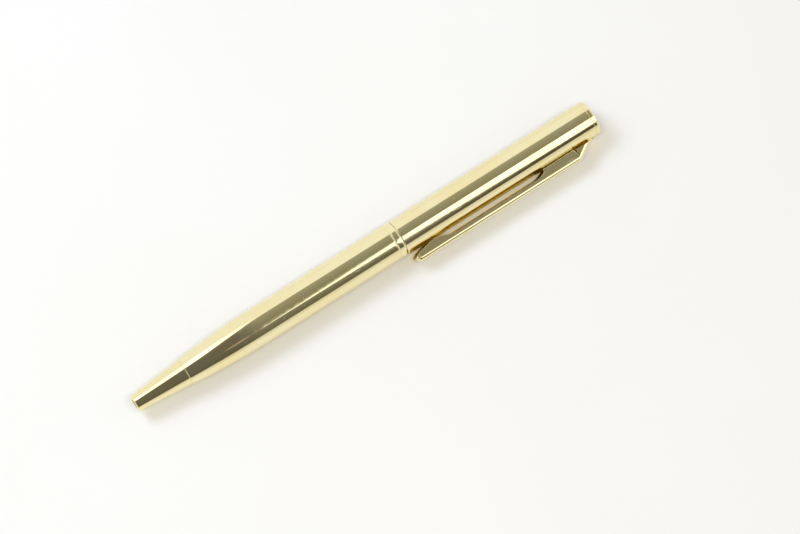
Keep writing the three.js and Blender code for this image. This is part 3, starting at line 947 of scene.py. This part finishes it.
def place_group(tree, group, **values):
    return fed(tree, "ShaderNodeGroup", values, node_tree=group)


def finish_shell(name):
    """A new material with its Principled shader and object coordinates."""
    material = bpy.data.materials.new(name)
    material.use_nodes = True
    tree = material.node_tree
    tree.nodes.clear()
    shader = node(tree, "ShaderNodeBsdfPrincipled")
    result = node(tree, "ShaderNodeOutputMaterial")
    link(tree, shader.outputs[0], result.inputs["Surface"])
    vector = node(tree, "ShaderNodeTexCoord").outputs["Object"]
    return material, tree, shader, vector


def coated(tree, shader, tone, rough, height, strength, distance):
    """Feeds a shader its colour, its roughness and its relief."""
    link(tree, tone, shader.inputs["Base Color"])
    link(tree, rough, shader.inputs["Roughness"])
    relief = fed(tree, "ShaderNodeBump", {
        "Strength": strength, "Distance": distance, "Height": height})
    link(tree, relief.outputs["Normal"], shader.inputs["Normal"])


def gold_finish(colours):
    """Polished pale gold plating with hairlines and a little dust."""
    found = bpy.data.materials.get("Pale gold plating")
    if found:
        return found
    material, tree, shader, vector = finish_shell("Pale gold plating")
    shader.inputs["Metallic"].default_value = 1.0
    marks = place_group(tree, handling_marks(), Vector=vector, Fineness=1.0)
    dust = place_group(tree, dust_flecks(), Vector=vector, Density=0.1, Scale=1500.0)
    drift = ranged(tree, noise(tree, vector, 160, 3.0), 0.35, 0.7)
    tint = mixed(tree, drift, colours.gold, colours.gold_warm)
    worn = mixed(tree, maths(tree, "MULTIPLY", marks.outputs["Mask"], 0.25), tint,
                 (0.95, 0.9, 0.72))
    dusty = mixed(tree, maths(tree, "MULTIPLY", dust.outputs["Mask"], 0.5), worn,
                  (0.42, 0.4, 0.36))
    haze = ranged(tree, noise(tree, vector, 900, 3.0), 0.3, 0.75, 0.07, 0.11)
    rough = maths(tree, "MULTIPLY_ADD", marks.outputs["Mask"], 0.12, haze)
    full = maths(tree, "MULTIPLY_ADD", dust.outputs["Mask"], 0.35, rough)
    height = maths(tree, "MULTIPLY_ADD", dust.outputs["Mask"], 0.5, marks.outputs["Height"])
    coated(tree, shader, dusty, full, height, 0.12, 0.00001)
    return material


def turned_metal(name, base, dull, ring_scale):
    """Bare metal with the fine rings that turning leaves."""
    found = bpy.data.materials.get(name)
    if found:
        return found
    material, tree, shader, vector = finish_shell(name)
    shader.inputs["Metallic"].default_value = 1.0
    rings = noise(tree, stretched(tree, vector, (ring_scale, 60, 60)), 1.0, 3.0)
    cloud = noise(tree, vector, 500, 4.0)
    dark = tuple(c * 0.72 for c in base)
    tone = mixed(tree, ranged(tree, cloud, 0.35, 0.7), base, dark)
    rough = ranged(tree, rings, 0.3, 0.7, dull - 0.06, dull + 0.1)
    coated(tree, shader, tone, rough, rings, 0.25, 0.00001)
    return material


def steel_finish(colours):
    return turned_metal("Turned steel", colours.steel, 0.24, 9000)


def moulded(name, base, dull, grain, depth):
    """Moulded plastic or rubber with a fine grain."""
    material, tree, shader, vector = finish_shell(name)
    fine = noise(tree, vector, grain, 3.0)
    broad = noise(tree, vector, 300, 2.0)
    dark = tuple(c * 0.85 for c in base)
    tone = mixed(tree, ranged(tree, broad, 0.35, 0.7), base, dark)
    rough = ranged(tree, fine, 0.3, 0.7, dull - 0.07, dull + 0.07)
    coated(tree, shader, tone, rough, fine, 0.3, depth)
    return material


class PEN_OT_mechanism(bpy.types.Operator):
    """Gives the pieces inside the pen their finishes"""
    bl_idname = "pen.mechanism"
    bl_label = "Finish the mechanism"

    def execute(self, context):
        colours = context.scene.pen_finish
        finishes = {
            "plain_brass": turned_metal("Turned brass", colours.brass, 0.3, 7000),
            "steel": steel_finish(colours),
            "white_plastic": moulded("Moulded plastic", colours.plastic, 0.42, 5000, 0.00001),
            "black_rubber": moulded("Rubber", colours.rubber, 0.75, 9000, 0.00002),
            "blue_ink": moulded("Blue ink", colours.ink, 0.25, 1500, 0.00002),
        }
        done = {"nose_cone", "lower_barrel", "centre_ring", "upper_barrel", "top_cap", "clip",
                "refill_tip", "refill_ball"}
        for entry in frame["record"]["subparts"]:
            if entry["node"] in done:
                continue
            thing = frame["nodes"][entry["node"]]
            finish = finishes[entry["material_slot"]]
            for place in thing.material_slots:
                place.link = "OBJECT"
                place.material = finish
        return {"FINISHED"}


# The stage

def product(tree, value, *factors):
    for factor in factors:
        value = maths(tree, "MULTIPLY", value, factor)
    return value


def apart(tree, value, centre):
    """How far a value is from a centre, either way."""
    return maths(tree, "ABSOLUTE", maths(tree, "SUBTRACT", value, centre))


def sky(scene, look):
    """A studio round the pen: a pale wall behind, a dark room above, and a long white softbox.

    tilt is in degrees round the pen, from straight up and growing towards the near side.
    lengthwise is the ray's share along the pen, growing towards the cap.
    """
    world = bpy.data.worlds.new("Studio")
    scene.world = world
    world.use_nodes = True
    tree = world.node_tree
    tree.nodes.clear()
    ray = node(tree, "ShaderNodeTexCoord").outputs["Generated"]
    lengthwise, near, height = fed(tree, "ShaderNodeSeparateXYZ", {0: ray}).outputs[:3]
    back = maths(tree, "MULTIPLY", near, -1.0)
    tilt = maths(tree, "MULTIPLY", maths(tree, "ARCTAN2", back, height), math.degrees(1))
    # The room: darker the lower it stands on the near side, and darkest beyond the nose
    fall = ranged(tree, tilt, -38, 42, kind="LINEAR")
    room = mixed(tree, fall, look.upper_dark, look.lower_dark)
    beyond = ranged(tree, lengthwise, 0.04, 0.11, 0.85, 0.0)
    unlit = mixed(tree, beyond, room, look.end_dark)
    deepest = ranged(tree, lengthwise, 0.12, 0.23, 0.85, 0.36)
    under = ranged(tree, tilt, 50, 66, 1.0, deepest)
    dim = mixed(tree, 1.0, unlit, under, "MULTIPLY")
    # The pale wall on the far side, and its brighter lower edge towards the nose
    wall_edge = ranged(tree, lengthwise, -0.08, 0.1, -46, -35, "LINEAR")
    wall = ranged(tree, maths(tree, "SUBTRACT", tilt, wall_edge), -3, 2, 1.0, 0.0)
    bar_width = ranged(tree, lengthwise, -0.08, 0.1, 15, 3.0, "LINEAR")
    bar_place = ranged(tree, lengthwise, -0.08, 0.1, -30, -38, "LINEAR")
    bar_glow = ranged(tree, lengthwise, 0.03, 0.12, 1.0, 0.06)
    bar_end = product(tree, ranged(tree, lengthwise, 0.14, 0.17, 1.0, 0.0),
                      ranged(tree, lengthwise, -0.4, -0.25))
    bar_in = maths(tree, "SUBTRACT", bar_width, apart(tree, tilt, bar_place))
    bar = product(tree, ranged(tree, bar_in, -2, 2), bar_glow, bar_end)
    # The softbox on the near side, a wedge that widens towards the cap
    low = ranged(tree, lengthwise, 0.118, 0.17, 34.5, 16, "LINEAR")
    high = ranged(tree, lengthwise, 0.148, 0.22, 36.5, 54, "LINEAR")
    glow = ranged(tree, lengthwise, 0.108, 0.12)
    above = ranged(tree, maths(tree, "SUBTRACT", tilt, low), -1.5, 1.5)
    below = ranged(tree, maths(tree, "SUBTRACT", high, tilt), -1.5, 1.5)
    box = product(tree, above, below, glow)
    # A warm lamp's faint streak, and the lit table seen low on the near side
    glint = product(tree, ranged(tree, apart(tree, tilt, 34.5), 1.0, 6.0, 0.75, 0.0),
                    ranged(tree, apart(tree, lengthwise, 0.03), 0.015, 0.045, 1.0, 0.0))
    table = ranged(tree, tilt, 74, 79)
    # The pale ends of the room, which only the seams and edges show
    ends = ranged(tree, maths(tree, "ABSOLUTE", lengthwise), 0.28, 0.42, 0.0, 0.9)
    shade = dim
    for share, glow in ((glint, WARM_STREAK), (ends, PALE_END), (wall, look.pale),
                        (bar, WALL_FOOT), (table, LIT_TABLE), (box, SOFTBOX)):
        shade = mixed(tree, share, shade, glow)
    path = node(tree, "ShaderNodeLightPath")
    even = mixed(tree, path.outputs["Diffuse Depth"], shade,
                 tuple(look.fill * tint for tint in FILL_TINT))
    seen = mixed(tree, path.outputs["Is Camera Ray"], even, BACKDROP)
    backdrop = fed(tree, "ShaderNodeBackground", {"Color": seen, "Strength": 1.0})
    fed(tree, "ShaderNodeOutputWorld", {"Surface": backdrop.outputs[0]})


def floor_finish(look):
    material, tree, shader, vector = finish_shell("Table")
    tone = ranged(tree, noise(tree, vector, 14, 3.0), 0.3, 0.7)
    pale = tuple(look.floor)
    tinted = mixed(tree, tone, pale, (pale[0] * 0.99, pale[1] * 0.985, pale[2] * 0.975))
    link(tree, tinted, shader.inputs["Base Color"])
    shader.inputs["Roughness"].default_value = 0.75
    shader.inputs["Specular IOR Level"].default_value = 0.2
    return material


class PEN_OT_stage(bpy.types.Operator):
    """Sets the table, the lamps, the studio and the camera"""
    bl_idname = "pen.stage"
    bl_label = "Set the stage"

    def execute(self, context):
        scene = context.scene
        look = scene.pen_stage
        half = 1.2
        floor = mesh_object("table", [(-half, -half, 0), (half, -half, 0), (half, half, 0),
                                      (-half, half, 0)], [(0, 1, 2, 3)])
        floor.data.materials.append(floor_finish(look))
        sky(scene, look)

        lamps = (
            ("key", look.key, (0.35, 0.25), (0.87, 0.98, 1.2), Vector((-0.22, 0.32, 0.5)),
             Vector((0, 0, 0))),
            ("front", look.front, (0.5, 0.12), (1.0, 0.93, 0.8), Vector((-0.06, -0.2, 0.72)),
             Vector((0, 0, 0))),
            ("bounce", look.bounce, (0.046, 0.0012), (1.0, 0.8, 0.4),
             Vector((0.031, -0.0023, 0.0018)), Vector((0.031, -0.0021, 0))),
        )
        for name, watts, (long, wide), shade, place, target in lamps:
            lamp = bpy.data.lights.new(name, "AREA")
            lamp.shape = "RECTANGLE"
            lamp.size = long
            lamp.size_y = wide
            lamp.energy = watts
            lamp.color = shade
            holder = bpy.data.objects.new(name, lamp)
            scene.collection.objects.link(holder)
            turn = (target - place).to_track_quat("-Z", "Y").to_matrix().to_4x4()
            holder.matrix_world = Matrix.Translation(place) @ turn
            holder.visible_glossy = False
            holder.visible_camera = False

        camera = bpy.data.cameras.new("camera")
        camera.sensor_width = 36.0
        camera.lens = look.lens
        camera.clip_start = 0.01
        camera.clip_end = 10
        holder = bpy.data.objects.new("camera", camera)
        scene.collection.objects.link(holder)
        azimuth = math.radians(AZIMUTH)
        height = math.radians(ELEVATION)
        right = Vector((math.cos(azimuth), math.sin(azimuth), 0))
        level = math.cos(height)
        behind = Vector((math.sin(azimuth) * level, -math.cos(azimuth) * level, math.sin(height)))
        up = behind.cross(right)
        aim = Vector((0.00485, -0.00395 + (AXIS_Y - 0.001404), AXIS_Z)) + (up - right) * 0.0001008
        at = aim + behind * DISTANCE
        turn = Matrix((right, up, behind)).transposed().to_4x4()
        holder.matrix_world = Matrix.Translation(at) @ turn
        scene.camera = holder
        scene.view_settings.view_transform = "Standard"
        # Light passes many times between the clip, the barrel and the table
        scene.cycles.max_bounces = 20
        scene.cycles.glossy_bounces = 14
        scene.cycles.diffuse_bounces = 6
        return {"FINISHED"}


class PEN_PT_panel(bpy.types.Panel):
    """Sizes, finishes and steps of the pen"""
    bl_label = "Mini ballpoint pen"
    bl_idname = "PEN_PT_panel"
    bl_space_type = "VIEW_3D"
    bl_region_type = "UI"
    bl_category = "Pen"

    def draw(self, context):
        scene = context.scene
        for title, group in (("Barrels", scene.pen_barrel), ("Clip", scene.pen_clip),
                             ("Finishes", scene.pen_finish), ("Stage", scene.pen_stage)):
            box = self.layout.box()
            box.label(text=title)
            for key in group.__annotations__:
                box.prop(group, key)
        for step in STEPS:
            self.layout.operator(step.bl_idname)


STEPS = (PEN_OT_stage, PEN_OT_barrels, PEN_OT_refill, PEN_OT_clip, PEN_OT_mechanism)
GROUPS = {"pen_barrel": PenBarrel, "pen_clip": PenClip, "pen_finish": PenFinish,
          "pen_stage": PenStage}


def register():
    for kind in (*GROUPS.values(), *STEPS, PEN_PT_panel):
        bpy.utils.register_class(kind)
    for name, kind in GROUPS.items():
        setattr(bpy.types.Scene, name, PointerProperty(type=kind))


def unregister():
    for name in GROUPS:
        delattr(bpy.types.Scene, name)
    for kind in reversed((*GROUPS.values(), *STEPS, PEN_PT_panel)):
        bpy.utils.unregister_class(kind)


def main():
    register()
    bpy.ops.pen.stage()
    bpy.ops.pen.barrels()
    bpy.ops.pen.refill()
    bpy.ops.pen.clip()
    bpy.ops.pen.mechanism()


if __name__ == "__main__":
    main()
